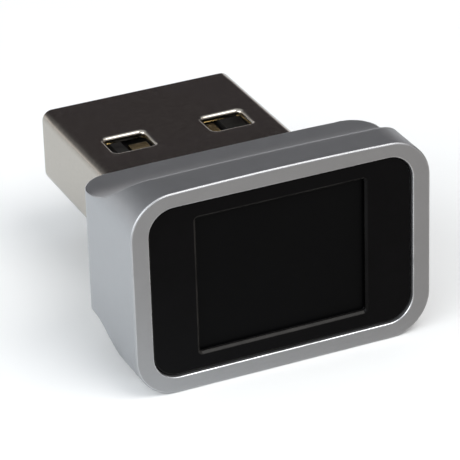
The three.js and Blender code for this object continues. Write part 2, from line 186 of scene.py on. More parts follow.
world = bpy.data.worlds.new("studio")
bpy.context.scene.world = world
world.use_nodes = True
tree = world.node_tree
outward = node(tree, "ShaderNodeTexCoord").outputs["Generated"]
direction = node(tree, "ShaderNodeSeparateXYZ", Vector=outward)
slant = node(tree, "ShaderNodeVectorMath", {"operation": "DOT_PRODUCT"})
tree.links.new(outward, slant.inputs[0])
slant.inputs[1].default_value = LIGHT_SIDE
forward = fade(tree, slant.outputs["Value"], LIGHT_SIDE_FADE)
overhead = fade(tree, direction.outputs["Z"], CEILING_FADE)
either = combine(tree, "MAXIMUM", forward, overhead)
low = fade(tree, direction.outputs["Z"], LOW_FADE)
walls = node(tree, "ShaderNodeMixRGB", Fac=either, Color1=ROOM_DARK, Color2=ROOM_LIGHT)
behind = node(tree, "ShaderNodeMapRange", Value=direction.outputs["Y"], To_Max=low)
room = node(
    tree,
    "ShaderNodeMixRGB",
    Fac=behind.outputs["Result"],
    Color1=walls.outputs[0],
    Color2=ROOM_LOW,
)
seen = node(
    tree,
    "ShaderNodeMixRGB",
    Fac=node(tree, "ShaderNodeLightPath").outputs["Is Camera Ray"],
    Color1=room.outputs[0],
    Color2=ROOM_SHOWN,
)
tree.links.new(seen.outputs[0], tree.nodes["Background"].inputs["Color"])

# Name, azimuth and elevation in degrees, size in millimetres, strength and tint of each soft box.
BOX_DISTANCE = 420 * MM
SOFT_BOXES = (
    ("front_box", 30, 55, 260, 4.0, (1.0, 0.99, 0.97)),
    ("left_box", -78, 24, 320, 2.9, (0.95, 0.98, 1.0)),
    ("corner_box", -42, 36, 160, 3.0, (0.92, 0.97, 1.0)),
    ("right_box", 80, 35, 220, 1.2, (1.0, 0.98, 0.96)),
)
for name, azimuth, elevation, size, strength, tint in SOFT_BOXES:
    wide = size * MM
    light = bpy.data.lights.new(name, "AREA")
    light.size = wide
    light.color = tint
    light.energy = strength * math.pi * wide * wide
    lamp = link_object(name, light)
    towards = away(math.radians(azimuth), math.radians(elevation))
    turned = towards.to_track_quat("Z", "Y").to_matrix().to_4x4()
    lamp.matrix_world = Matrix.Translation(centre + towards * BOX_DISTANCE) @ turned
    lamp.visible_camera = False

bpy.context.scene.view_settings.view_transform = "Standard"

# ---------------------------------------------------------------- housing
# A metal casting with a finger cove across its top and another across its underside. It is bead blasted,
# plated in satin chrome and chamfered round its front face. Its pale sharp edges, the chamfer most, are
# partly polished wear and partly painted highlight.

CORNER_R = 2.45
ARCH_RISE = 0.1
FRONT_CHAMFER = 0.07
RIM_D = 2.2
TOP_COVE_R = 5.5
TOP_COVE_FLOOR = 4.03
TOP_COVE_BOW = 0.12
LOW_COVE_R = 3.97
LOW_COVE_FLOOR = -3.38
REAR_PLAN_R = 1.6
EDGE_BLEND = 0.07
CREST_BLEND = 0.3
REAR_BLEND = 0.08
WINDOW_EASE = 0.08
FACE_MARGIN = 0.05
WALL_STEPS = 36
CROWDING = 3.2
CHAMFER_BLEND = 0.02
FACE_BLEND = 0.015
# The rear edge's blend fades to REAR_LEAST of itself where the round rear corners start.
REAR_FADE = 2
REAR_LEAST = 0.02
# The crest is softest in its middle. Its blend sharpens from END_FROM over END_REACH towards each end, and
# over CREST_REACH behind it.
END_FROM = 6.0
END_REACH = 2.2
CREST_REACH = 1.5
# The share of the top cove's bow at its ends, and of a round corner's radius that its middle is set in by.
BOW_AT_END = 0.9
CORNER_INSET = 0.3
# Depths of the first sections behind the front face, and distances of the last ones before the rear face.
FRONT_ROWS = (0, 0.005, 0.012, 0.035, 0.058, 0.066, 0.076, 0.09, 0.13, 0.3, 0.5)
REAR_ROWS = (0.12, 0.08, 0.05, 0.025, 0.01, 0.0)
# Sections of the flat rim, of the crest and of the coves: where they start and stop, and how many.
RIM_ROWS = (0.7, -0.35, 5)
CREST_ROWS = (-0.2, 0.3, 21)
COVE_ROWS = (0.4, -0.1, 24)
REAR_CORNER_ROWS = 15

HOUSING_LOW, HOUSING_HIGH = (np.array(corner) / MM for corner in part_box("housing_shell"))
FRONT_Y = HOUSING_LOW[1]
REAR_Y = HOUSING_HIGH[1]
AXIS_Z = (HOUSING_LOW[2] + HOUSING_HIGH[2]) / 2
HALF_W = (HOUSING_HIGH[0] - HOUSING_LOW[0]) / 2
HALF_H = (HOUSING_HIGH[2] - HOUSING_LOW[2]) / 2
CREST_Y = FRONT_Y + RIM_D

# Openings inside the housing, from front to rear: width, height, corner radius, rise above the axis, end.
WINDOW = {"w": 15.6, "h": 10.2, "r": 1.5}
LEDGE_Y = FRONT_Y + 1.25
BOARD_BAY = {"w": 14.2, "h": 9.3, "r": 0.9}
BOARD_BAY_END = FRONT_Y + 2.13
PLUG_BAY = {"w": 13.4, "h": 6.2, "r": 0.6, "rise": 0.4}
PLUG_BAY_END = REAR_Y - 0.7
PLUG_SLOT = {"w": 12.1, "h": 4.6, "r": 0.67}

# Wear, and on some pieces a painted highlight, shows where two faces turn from each other by more than the
# first angle below, in radians, and is full the second angle further on.
WEAR_HIGHLIGHT_FROM = 0.2
WEAR_HIGHLIGHT_OVER = 0.15
WEAR_HIGHLIGHT_PATCHES = (0.3, 0.6)
WEAR_HIGHLIGHT_LEAST = 0.35
GRAIN_SHARE = 0.45
CLOUD_SPREAD = (0.35, 0.65)
RAY_HALVINGS = 40
ON_SURFACE = 1e-6
NORMAL_WEIGHT = 60


def surface(name, colours, rough, patch, grain, grain_height, metallic=0.0, specular=0.5, edge_wear_and_highlight=None):
    """A material with cloudy colour, uneven gloss and a fine grain, and another colour along sharp edges,
    which stands for wear and, on the housing and bezel, for a painted highlight.

    patch and grain are the sizes of the clouds and of the grain in millimetres.
    """
    material = bpy.data.materials.new(name)
    material.use_nodes = True
    tree = material.node_tree
    shader = tree.nodes["Principled BSDF"]
    shader.inputs["Metallic"].default_value = metallic
    shader.inputs["Specular IOR Level"].default_value = specular
    where = node(tree, "ShaderNodeTexCoord").outputs["Object"]
    cloud = node(tree, "ShaderNodeTexNoise", Vector=where, Scale=1 / (patch * MM), Detail=4.0, Roughness=0.6)
    fine = node(tree, "ShaderNodeTexNoise", Vector=where, Scale=1 / (grain * MM), Detail=3.0, Roughness=0.7)
    both = node(
        tree,
        "ShaderNodeMixRGB",
        Fac=GRAIN_SHARE,
        Color1=cloud.outputs["Fac"],
        Color2=fine.outputs["Fac"],
    )
    spread = node(
        tree,
        "ShaderNodeMapRange",
        Value=both.outputs[0],
        From_Min=CLOUD_SPREAD[0],
        From_Max=CLOUD_SPREAD[1],
    )
    colour = node(
        tree,
        "ShaderNodeMixRGB",
        Fac=spread.outputs["Result"],
        Color1=(*colours[0], 1),
        Color2=(*colours[1], 1),
    )
    gloss = node(
        tree, "ShaderNodeMapRange", Value=spread.outputs["Result"], To_Min=rough[0], To_Max=rough[1]
    )
    last_colour = colour.outputs[0]
    last_gloss = gloss.outputs["Result"]
    # Sharp edges take another colour and gloss, in patches: wear, and on the housing and bezel a painted
    # highlight.
    if edge_wear_and_highlight:
        edge = node(tree, "ShaderNodeAttribute", {"attribute_name": "edge"})
        patchy_wear_highlight = node(
            tree,
            "ShaderNodeMapRange",
            Value=cloud.outputs["Fac"],
            From_Min=WEAR_HIGHLIGHT_PATCHES[0],
            From_Max=WEAR_HIGHLIGHT_PATCHES[1],
            To_Min=WEAR_HIGHLIGHT_LEAST,
        )
        amount = combine(tree, "MULTIPLY", edge.outputs["Fac"], patchy_wear_highlight.outputs["Result"])
        last_colour = node(
            tree,
            "ShaderNodeMixRGB",
            Fac=amount,
            Color1=last_colour,
            Color2=(*edge_wear_and_highlight["colour"], 1),
        ).outputs[0]
        smoothed = node(tree, "ShaderNodeMapRange", Value=amount, To_Min=1.0, To_Max=edge_wear_and_highlight["gloss"])
        last_gloss = combine(tree, "MULTIPLY", last_gloss, smoothed.outputs["Result"])
    tree.links.new(last_colour, shader.inputs["Base Color"])
    tree.links.new(last_gloss, shader.inputs["Roughness"])
    bump = node(
        tree, "ShaderNodeBump", Height=fine.outputs["Fac"], Strength=1.0, Distance=grain_height * MM
    )
    tree.links.new(bump.outputs["Normal"], shader.inputs["Normal"])
    return material


def mark_edges(mesh):
    """Writes how sharply the surface turns outwards at each point, from 0 to 1, as the attribute edge."""
    shape = bmesh.new()
    shape.from_mesh(mesh)
    sharp = []
    for vertex in shape.verts:
        turns = [e.calc_face_angle_signed(0.0) for e in vertex.link_edges]
        sharp.append(min(max((max(turns) - WEAR_HIGHLIGHT_FROM) / WEAR_HIGHLIGHT_OVER, 0.0), 1.0))
    shape.free()
    edge = mesh.attributes.new("edge", "FLOAT", "POINT")
    edge.data.foreach_set("value", sharp)


def add_piece(name, mesh, materials, slot, *nodes):
    """Finishes a mesh as a smooth piece on the body, in place of the CAD nodes it stands for."""
    for polygon in mesh.polygons:
        polygon.use_smooth = True
    mark_edges(mesh)
    mesh.materials.clear()
    for material in materials:
        mesh.materials.append(material)
    piece = link_object(name, mesh)
    piece.modifiers.new("even_normals", "WEIGHTED_NORMAL").weight = NORMAL_WEIGHT
    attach(piece, "root")
    if nodes:
        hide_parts(*nodes)
    return piece


def mesh_from(name, points, faces):
    """A mesh from points in millimetres, with its faces turned outwards."""
    mesh = bpy.data.meshes.new(name)
    mesh.from_pydata((np.asarray(points) * MM).tolist(), [], faces)
    shape = bmesh.new()
    shape.from_mesh(mesh)
    unused = [vertex for vertex in shape.verts if not vertex.link_faces]
    bmesh.ops.delete(shape, geom=unused, context="VERTS")
    bmesh.ops.recalc_face_normals(shape, faces=shape.faces)
    shape.to_mesh(mesh)
    shape.free()
    return mesh


def skin(loops, skip=()):
    """Points and faces of a closed ring skinned over loops of points, less the faces that skip names."""
    count = len(loops[0])
    points = [point for loop in loops for point in loop]
    faces = []
    for row in range(len(loops)):
        following = (row + 1) % len(loops)
        for i in range(count):
            if (row, i) in skip:
                continue
            j = (i + 1) % count
            faces.append((row * count + i, following * count + i, following * count + j, row * count + j))
    return points, faces


def blend_max(a, b, width):
    """The larger of two distances, rounded over where they are within width of each other."""
    near = np.maximum(width - np.abs(a - b), 0) / width
    return np.maximum(a, b) + near * near * width / 4


def round_rect(x, z, half_w, half_h, r):
    """Distance outside a rectangle with round corners."""
    dx = np.abs(x) - half_w + r
    dz = np.abs(z) - half_h + r
    return np.minimum(np.maximum(dx, dz), 0) + np.hypot(np.maximum(dx, 0), np.maximum(dz, 0)) - r


def cove_depth(y, z, floor, radius):
    """Distance inside a finger cove whose flat floor curves up to the crest. z and floor point outwards."""
    steepest = math.acos((floor + radius - HALF_H) / radius)
    centre_y = CREST_Y + radius * math.sin(steepest)
    curved = radius - np.hypot(y - centre_y, z - floor - radius)
    return np.where(y < centre_y, curved, z - floor)


def housing_field(x, y, z):
    """Distance outside the housing's outer form, with x and z measured from the plug's axis."""
    flat_half = HALF_W - CORNER_R
    sag = ARCH_RISE * np.minimum((x / flat_half) ** 2, 1) * np.clip(z / HALF_H, 0, 1)
    block = round_rect(x, z + sag, HALF_W, HALF_H, CORNER_R)
    chamfer = (block + FRONT_Y + FRONT_CHAMFER - y) / math.sqrt(2)
    past_flat = np.abs(x) - HALF_W + REAR_PLAN_R
    corner = np.hypot(past_flat, y - REAR_Y + REAR_PLAN_R) - REAR_PLAN_R
    plan = np.where((past_flat > 0) & (y > REAR_Y - REAR_PLAN_R), corner, np.abs(x) - HALF_W)
    near_end = np.clip((np.abs(x) - END_FROM) / END_REACH, 0, 1)
    past_crest = min(max((y - CREST_Y) / CREST_REACH, 0.0), 1.0)
    at_crest = (1 - near_end * near_end * (3 - 2 * near_end)) * (1 - past_crest)
    soft = EDGE_BLEND + (CREST_BLEND - EDGE_BLEND) * at_crest
    bow = TOP_COVE_BOW * (np.abs(x) / HALF_W) ** 4
    out = np.maximum(block, plan)
    out = blend_max(out, cove_depth(y, z + bow, TOP_COVE_FLOOR, TOP_COVE_R), soft)
    out = blend_max(out, cove_depth(y, -z, -LOW_COVE_FLOOR, LOW_COVE_R), soft)
    out = blend_max(out, y - REAR_Y, REAR_BLEND * np.clip(-REAR_FADE * past_flat, REAR_LEAST, 1))
    out = blend_max(out, chamfer, CHAMFER_BLEND)
    return blend_max(out, FRONT_Y - y, FACE_BLEND)


def ray_angles(top_angle, low_angle):
    """Angles round the axis, crowded about the four corners of a section."""
    step = np.linspace(0, 1, WALL_STEPS + 1)
    spread = (np.exp(CROWDING * step) - 1) / (math.exp(CROWDING) - 1)
    quarters = []
    for corner in (top_angle, low_angle):
        side = corner * (1 - spread[::-1])
        cap = corner + (math.pi / 2 - corner) * spread
        quarters.append(np.concatenate([side[:-1], cap]))
    upper, lower = quarters
    return np.concatenate([
        upper[:-1], math.pi - upper[::-1][:-1], math.pi + lower[:-1], 2 * math.pi - lower[::-1][:-1]
    ])


def ray_loop(field, y, top_angle, low_angle):
    """The loop where rays from the axis leave a section."""
    angles = ray_angles(top_angle, low_angle)
    near = np.zeros_like(angles)
    far = np.full_like(angles, 2 * HALF_W)
    for _ in range(RAY_HALVINGS):
        middle = (near + far) / 2
        inside = field(middle * np.cos(angles), middle * np.sin(angles)) < ON_SURFACE
        near = np.where(inside, middle, near)
        far = np.where(inside, far, middle)
    return np.stack([far * np.cos(angles), np.full_like(far, y), far * np.sin(angles) + AXIS_Z], axis=1)


def cove_edge_angle(y, floor, radius, crest_drop, bow=0.0):
    """Angle at which a cove's edge leaves the housing's side, in the section at y."""
    steepest = math.acos((floor + radius - HALF_H) / radius)
    centre_y = CREST_Y + radius * math.sin(steepest)
    reach = min(max(centre_y - y, 0.0), radius)
    z = min(floor + radius - math.sqrt(radius * radius - reach * reach) - bow, HALF_H - crest_drop)
    over = max(z - (HALF_H - crest_drop - CORNER_R), 0.0)
    x = HALF_W - CORNER_R + math.sqrt(max(CORNER_R * CORNER_R - over * over, 0.0))
    into_corner = y - (REAR_Y - REAR_PLAN_R)
    if into_corner > 0:
        x = min(x, HALF_W - REAR_PLAN_R + math.sqrt(max(REAR_PLAN_R**2 - into_corner**2, 0.0)))
    return math.atan2(z, x)


def housing_rows():
    """Places along Y at which the outer skin is cut, close together where it bends."""
    turn = np.linspace(0, math.pi / 2, REAR_CORNER_ROWS)
    rear = REAR_Y - REAR_PLAN_R + REAR_PLAN_R * np.sin(turn)
    rows = [
        FRONT_Y + np.array(FRONT_ROWS),
        np.linspace(FRONT_Y + RIM_ROWS[0], CREST_Y + RIM_ROWS[1], RIM_ROWS[2]),
        np.linspace(CREST_Y + CREST_ROWS[0], CREST_Y + CREST_ROWS[1], CREST_ROWS[2]),
        np.linspace(CREST_Y + COVE_ROWS[0], rear[0] + COVE_ROWS[1], COVE_ROWS[2]),
        rear[:-1],
        REAR_Y - np.array(REAR_ROWS),
    ]
    return np.unique(np.round(np.concatenate(rows), 4))


def opening_loop(opening, y, grow=0.0, corners=None):
    """An opening's loop. corners gives other angles, above and below the axis, to crowd its points about."""
    rise = opening.get("rise", 0.0)
    half_w = opening["w"] / 2 + grow
    half_h = opening["h"] / 2 + grow
    r = opening["r"] + grow
    inset = CORNER_INSET * r
    top = math.atan2(half_h + rise - inset, half_w - inset)
    low = math.atan2(half_h - rise - inset, half_w - inset)
    return ray_loop(lambda x, z: round_rect(x, z - rise, half_w, half_h, r), y, *(corners or (top, low)))


def between(first, last):
    """Two loops on the flat face between two others, close beside each, so that the pale edge colour, wear
    and painted highlight, stays at the edges.
    """
    along = last - first
    step = FACE_MARGIN * along / np.linalg.norm(along, axis=1, keepdims=True)
    return [first + step, last - step]


def cove_corners(y):
    """Angles of the two coves' edges in the section at y."""
    return (
        cove_edge_angle(y, TOP_COVE_FLOOR, TOP_COVE_R, ARCH_RISE, BOW_AT_END * TOP_COVE_BOW),
        cove_edge_angle(y, -LOW_COVE_FLOOR, LOW_COVE_R, 0.0),
    )


loops = [ray_loop(lambda x, z: housing_field(x, y, z), y, *cove_corners(y)) for y in housing_rows()[::-1]]
loops += between(loops[-1], opening_loop(WINDOW, FRONT_Y, WINDOW_EASE))
for turn in np.linspace(0, math.pi / 2, 6):
    grow = WINDOW_EASE * (1 - math.sin(turn))
    loops.append(opening_loop(WINDOW, FRONT_Y + WINDOW_EASE * (1 - math.cos(turn)), grow))
loops += [
    opening_loop(WINDOW, LEDGE_Y),
    opening_loop(BOARD_BAY, LEDGE_Y),
    opening_loop(BOARD_BAY, BOARD_BAY_END),
    opening_loop(PLUG_BAY, BOARD_BAY_END),
    opening_loop(PLUG_BAY, PLUG_BAY_END),
    opening_loop(PLUG_SLOT, PLUG_BAY_END, corners=cove_corners(REAR_Y)),
    opening_loop(PLUG_SLOT, REAR_Y, corners=cove_corners(REAR_Y)),
]
loops += between(loops[-1], loops[0])
# Its pale edge colour is partly polished wear and partly a painted highlight, brightest along the front
# chamfer.
satin_chrome = surface(
    "satin_chrome",
    ((0.405, 0.405, 0.412), (0.425, 0.425, 0.432)),
    (0.42, 0.45),
    patch=0.8,
    grain=0.13,
    grain_height=0.006,
    metallic=1.0,
    edge_wear_and_highlight={"colour": (0.86, 0.87, 0.88), "gloss": 0.38},
)
housing = mesh_from("housing_casting", *skin(loops))
add_piece("housing_casting", housing, [satin_chrome], "satin_chrome", "housing_shell")

# ---------------------------------------------------------------- bezel
# A frame moulded in glossy black plastic that closes the front. Its window has a chamfered edge, and a
# rebate behind the window takes the sensor.

BEZEL_R = 1.45
SENSOR_WINDOW = (10.0, 8.1, 0.15)
SENSOR_POCKET = (11.3, 9.2, 0.3)
BEZEL_RIM_T = 0.25
BEZEL_OUTER_EASE = 0.07
BEZEL_WINDOW_CHAMFER = 0.12
# Distances of the extra loops beside the frame's edges, which keep the painted highlight on the edges
# themselves.
BEZEL_MARGIN = 0.04
BEFORE_CHAMFER = 0.015
INTO_CHAMFER = (0.005, 0.006)
BEZEL_TURN = 0.012
# How far inside the window's right edge the painted shade starts, and the share of the edge highlight left
# there.
RIGHT_SHADE_MARGIN = 0.1
RIGHT_SHADE_SHARE = 0.15
CORNER_TURNS = 10
EASE_STEPS = 4


def node_box(name):
    """Lowest and highest corner of a CAD node, in millimetres."""
    return tuple(np.array(corner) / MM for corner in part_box(name))


def shrunk(rect, by):
    """A rectangle with every side moved inwards."""
    return rect[0] - 2 * by, rect[1] - 2 * by, max(rect[2] - by, 0.01)


def rect_loop(rect, y):
    """A rectangle with round corners about the axis, as a loop in the section at y."""
    width, height, r = rect
    loop = []
    for quarter, (side, top) in enumerate(((1, 1), (-1, 1), (-1, -1), (1, -1))):
        for step in range(CORNER_TURNS + 1):
            angle = math.pi / 2 * (quarter + step / CORNER_TURNS)
            x = side * (width / 2 - r) + r * math.cos(angle)
            z = top * (height / 2 - r) + r * math.sin(angle)
            loop.append((x, y, AXIS_Z + z))
    return loop


bezel_low, bezel_high = node_box("front_bezel")
bezel_front = bezel_low[1]
bezel_outer = (bezel_high[0] - bezel_low[0], bezel_high[2] - bezel_low[2], BEZEL_R)
chamfer = BEZEL_WINDOW_CHAMFER
loops = [rect_loop(bezel_outer, bezel_high[1])]
for turn in np.linspace(0, math.pi / 2, EASE_STEPS + 1):
    eased = shrunk(bezel_outer, BEZEL_OUTER_EASE * (1 - math.cos(turn)))
    loops.append(rect_loop(eased, bezel_front + BEZEL_OUTER_EASE * (1 - math.sin(turn))))
loops += [
    rect_loop(shrunk(bezel_outer, BEZEL_OUTER_EASE + BEZEL_MARGIN), bezel_front),
    rect_loop(shrunk(SENSOR_WINDOW, -chamfer - FACE_MARGIN), bezel_front),
    rect_loop(shrunk(SENSOR_WINDOW, -chamfer - BEFORE_CHAMFER), bezel_front),
    rect_loop(shrunk(SENSOR_WINDOW, -chamfer + INTO_CHAMFER[0]), bezel_front + INTO_CHAMFER[1]),
    rect_loop(shrunk(SENSOR_WINDOW, -BEZEL_TURN), bezel_front + chamfer - BEZEL_TURN),
    rect_loop(SENSOR_WINDOW, bezel_front + chamfer + BEZEL_TURN),
    rect_loop(SENSOR_WINDOW, bezel_front + BEZEL_RIM_T),
    rect_loop(SENSOR_POCKET, bezel_front + BEZEL_RIM_T),
    rect_loop(SENSOR_POCKET, bezel_high[1]),
]
# Its paler edge colour is a painted highlight, meant for the window's chamfer.
bezel_black = surface(
    "bezel_black",
    ((0.0012, 0.0011, 0.0013), (0.0022, 0.002, 0.0024)),
    (0.1, 0.16),
    patch=2.2,
    grain=0.25,
    grain_height=0.0004,
    specular=0.09,
    edge_wear_and_highlight={"colour": (0.03, 0.028, 0.026), "gloss": 1.5},
)
bezel_mesh = mesh_from("bezel_frame", *skin(loops))
bezel = add_piece("bezel_frame", bezel_mesh, [bezel_black], "bezel_black", "front_bezel")
# From just inside the sensor window's right edge rightwards, the bezel's painted edge highlight is cut to a
# small share, so the window's right chamfer, which faces left, stays dark as painted shade.
right_shade_from = (SENSOR_WINDOW[0] / 2 - RIGHT_SHADE_MARGIN) * MM
for vertex, edge in zip(bezel.data.vertices, bezel.data.attributes["edge"].data):
    if vertex.co.x > right_shade_from:
        edge.value *= RIGHT_SHADE_SHARE

# ---------------------------------------------------------------- adhesive and gasket
# A die-cut frame of black foam tape holds the bezel to the housing's ledge, and a thin one seals the sensor.

black_foam = surface(
    "black_foam",
    ((0.016, 0.016, 0.017), (0.03, 0.03, 0.031)),
    (0.8, 0.95),
    patch=0.8,
    grain=0.06,
    grain_height=0.02,
    specular=0.2,
)
for name in ("bezel_adhesive", "sensor_gasket"):
    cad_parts[name].material_slots[0].material = black_foam

# ---------------------------------------------------------------- sensor
# The touch surface is a hard matte coat over a moulded package. The die lies in the package's pocket, and
# a laminate substrate carries it.

EASED_STEPS = 3
EASED_ANGLE = math.radians(35)
FLAT_ANGLE = math.radians(1)
SAME_POINT = 1e-7


def softened(name, node_name, materials, slot, width, choose=None):
    """A CAD node's shape with its edges eased. choose gives a face's material number from its middle."""
    mesh = bpy.data.meshes.new(name + "_raw")
    shape = bmesh.new()
    shape.from_mesh(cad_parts[node_name].data)
    bmesh.ops.remove_doubles(shape, verts=shape.verts, dist=SAME_POINT)
    bmesh.ops.dissolve_limit(shape, angle_limit=FLAT_ANGLE, verts=shape.verts, edges=shape.edges)
    shape.to_mesh(mesh)
    shape.free()
    raw = link_object(name + "_raw", mesh)
    bevel = raw.modifiers.new("eased", "BEVEL")
    bevel.width = width * MM
    bevel.segments = EASED_STEPS
    bevel.limit_method = "ANGLE"
    bevel.angle_limit = EASED_ANGLE
    graph = bpy.context.evaluated_depsgraph_get()
    eased = bpy.data.meshes.new_from_object(raw.evaluated_get(graph))
    eased.name = name
    bpy.data.objects.remove(raw)
    piece = add_piece(name, eased, materials, slot, node_name)
    if choose:
        for polygon in eased.polygons:
            polygon.material_index = choose(np.array(polygon.center) / MM)
    return piece


sensor_coat = surface(
    "sensor_coat",
    ((0.0013, 0.0013, 0.0015), (0.0018, 0.0018, 0.002)),
    (0.4, 0.46),
    patch=3.0,
    grain=0.05,
    grain_height=0.001,
    specular=0.07,
)
package_epoxy = surface(
    "package_epoxy",
    ((0.018, 0.018, 0.019), (0.035, 0.035, 0.036)),
    (0.55, 0.7),
    patch=0.7,
    grain=0.04,
    grain_height=0.003,
    specular=0.35,
    edge_wear_and_highlight={"colour": (0.05, 0.05, 0.052), "gloss": 0.9},
)
silicon = surface(
    "silicon",
    ((0.05, 0.055, 0.085), (0.09, 0.1, 0.15)),
    (0.08, 0.14),
    patch=2.0,
    grain=0.1,
    grain_height=0.0003,
    metallic=0.6,
)
laminate = surface(
    "laminate",
    ((0.04, 0.085, 0.04), (0.07, 0.12, 0.06)),
    (0.45, 0.6),
    patch=0.6,
    grain=0.08,
    grain_height=0.003,
)
softened("sensor_touch_plate", "sensor_cover", [sensor_coat], "sensor_coat", 0.02)
softened("sensor_body", "sensor_package", [package_epoxy], "package_epoxy", 0.03)
softened("sensor_chip", "sensor_die", [silicon], "silicon", 0.01)
softened("sensor_base", "sensor_substrate", [laminate], "laminate", 0.02)

# ---------------------------------------------------------------- circuit board
# A green-masked board stands behind the sensor. Plated holes cross it, and tin-lead joints hold the parts.

HOLE_RINGS = 9
HOLE_ROWS = (-3.6, -0.75, 3.75)
HOLE_SPAN = 11.6

solder_mask = surface(
    "solder_mask",
    ((0.012, 0.07, 0.03), (0.022, 0.115, 0.05)),
    (0.25, 0.38),
    patch=0.9,
    grain=0.12,
    grain_height=0.002,
    edge_wear_and_highlight={"colour": (0.12, 0.13, 0.07), "gloss": 1.6},
)
tin = surface(
    "tin",
    ((0.5, 0.5, 0.49), (0.66, 0.66, 0.64)),
    (0.2, 0.34),
    patch=0.3,
    grain=0.05,
    grain_height=0.003,
    metallic=1.0,
)
gold = surface(
    "gold",
    ((0.5, 0.36, 0.13), (0.66, 0.49, 0.2)),
    (0.2, 0.32),
    patch=0.5,
    grain=0.06,
    grain_height=0.002,
    metallic=1.0,
    edge_wear_and_highlight={"colour": (0.75, 0.6, 0.32), "gloss": 0.8},
)
softened("board_panel", "sensor_board", [solder_mask], "solder_mask", 0.03)


def named_tree(name, sizes):
    """A Geometry Nodes tree with a geometry input and a float input for each size."""
    tree = bpy.data.node_groups.new(name, "GeometryNodeTree")
    tree.interface.new_socket(name="Geometry", in_out="INPUT", socket_type="NodeSocketGeometry")
    for size in sizes:
        tree.interface.new_socket(name=size, in_out="INPUT", socket_type="NodeSocketFloat")
    tree.interface.new_socket(name="Geometry", in_out="OUTPUT", socket_type="NodeSocketGeometry")
    return tree, tree.nodes.new("NodeGroupInput"), tree.nodes.new("NodeGroupOutput")


def grown(name, points, tree, sizes, material, slot):
    """Runs a tree on a cloud of points in millimetres and keeps the result as a plain mesh."""
    cloud = bpy.data.meshes.new(name + "_points")
    cloud.from_pydata((np.asarray(points) * MM).tolist(), [], [])
    holder = link_object(name + "_points", cloud)
    modifier = holder.modifiers.new("grow", "NODES")
    modifier.node_group = tree
    for item in tree.interface.items_tree:
        if item.in_out == "INPUT" and item.name in sizes:
            modifier[item.identifier] = sizes[item.name] * MM
    graph = bpy.context.evaluated_depsgraph_get()
    mesh = bpy.data.meshes.new_from_object(holder.evaluated_get(graph))
    mesh.name = name
    bpy.data.objects.remove(holder)
    return add_piece(name, mesh, [material], slot)


# Each plated hole is a gold collar that stands a hair proud of the board's rear face.
tree, given, result = named_tree("plated_holes", ["Outer Radius", "Collar Radius"])
collar = node(tree, "GeometryNodeCurvePrimitiveCircle", Resolution=20, Radius=given.outputs["Outer Radius"])
bead = node(tree, "GeometryNodeCurvePrimitiveCircle", Resolution=8, Radius=given.outputs["Collar Radius"])
swept = node(
    tree,
    "GeometryNodeCurveToMesh",
    Curve=collar.outputs["Curve"],
    Profile_Curve=bead.outputs["Curve"],
)
upright = node(
    tree,
    "GeometryNodeTransform",
    Geometry=swept.outputs["Mesh"],
    Rotation=(math.pi / 2, 0, 0),
)
placed = node(
    tree,
    "GeometryNodeInstanceOnPoints",
    Points=given.outputs["Geometry"],
    Instance=upright.outputs["Geometry"],
)
real = node(tree, "GeometryNodeRealizeInstances", Geometry=placed.outputs["Instances"])
painted = node(tree, "GeometryNodeSetMaterial", Geometry=real.outputs["Geometry"], Material=gold)
tree.links.new(painted.outputs["Geometry"], result.inputs["Geometry"])

board_rear = node_box("sensor_board")[1][1]
holes = [
    (x, board_rear, AXIS_Z + z)
    for z in HOLE_ROWS
    for x in np.linspace(-HOLE_SPAN / 2, HOLE_SPAN / 2, HOLE_RINGS)
]
grown("plated_holes", holes, tree, {"Outer Radius": 0.14, "Collar Radius": 0.014}, gold, "contact_gold")

# ---------------------------------------------------------------- chips and passives
# Moulded chips, a crystal in a metal can, and ceramic capacitors and resistors with tinned ends stand on
# the board's rear face.

CAP_L = 0.22
LEAD_T = 0.16
LEAD_REACH = 0.2
LEAD_SLACK = 0.002
JOINT_TILT = 0.4
JOINT_SEED = 7

softened("controller_chip", "usb_controller", [package_epoxy], "package_epoxy", 0.03)
softened("memory_chip", "flash_memory", [package_epoxy], "package_epoxy", 0.03)

crystal_can = surface(
    "crystal_can",
    ((0.5, 0.5, 0.5), (0.62, 0.62, 0.61)),
    (0.25, 0.36),
    patch=0.6,
    grain=0.05,
    grain_height=0.002,
    metallic=1.0,
    edge_wear_and_highlight={"colour": (0.75, 0.75, 0.74), "gloss": 0.8},
)
softened("crystal_case", "crystal", [crystal_can], "crystal_can", 0.06)

joints = []


def leaded(name, node_name, leads):
    """A moulded chip whose flat leads are tinned, with a solder joint under the end of each lead."""
    low, high = node_box(node_name)
    base = low[1]
    body_from = low[0] + LEAD_REACH - LEAD_SLACK
    body_to = high[0] - LEAD_REACH + LEAD_SLACK

    def choose(middle):
        beyond = middle[0] < body_from or middle[0] > body_to
        return 1 if beyond and middle[1] < base + LEAD_T else 0

    softened(name, node_name, [package_epoxy, tin], "package_epoxy", 0.02, choose)
    pitch = (high[2] - low[2]) / leads
    for i in range(leads):
        for x in (low[0], high[0]):
            joints.append((x, base, low[2] + pitch * (i + 0.5)))


leaded("regulator_chip", "voltage_regulator", 3)
leaded("suppressor_chip", "esd_suppressor", 2)

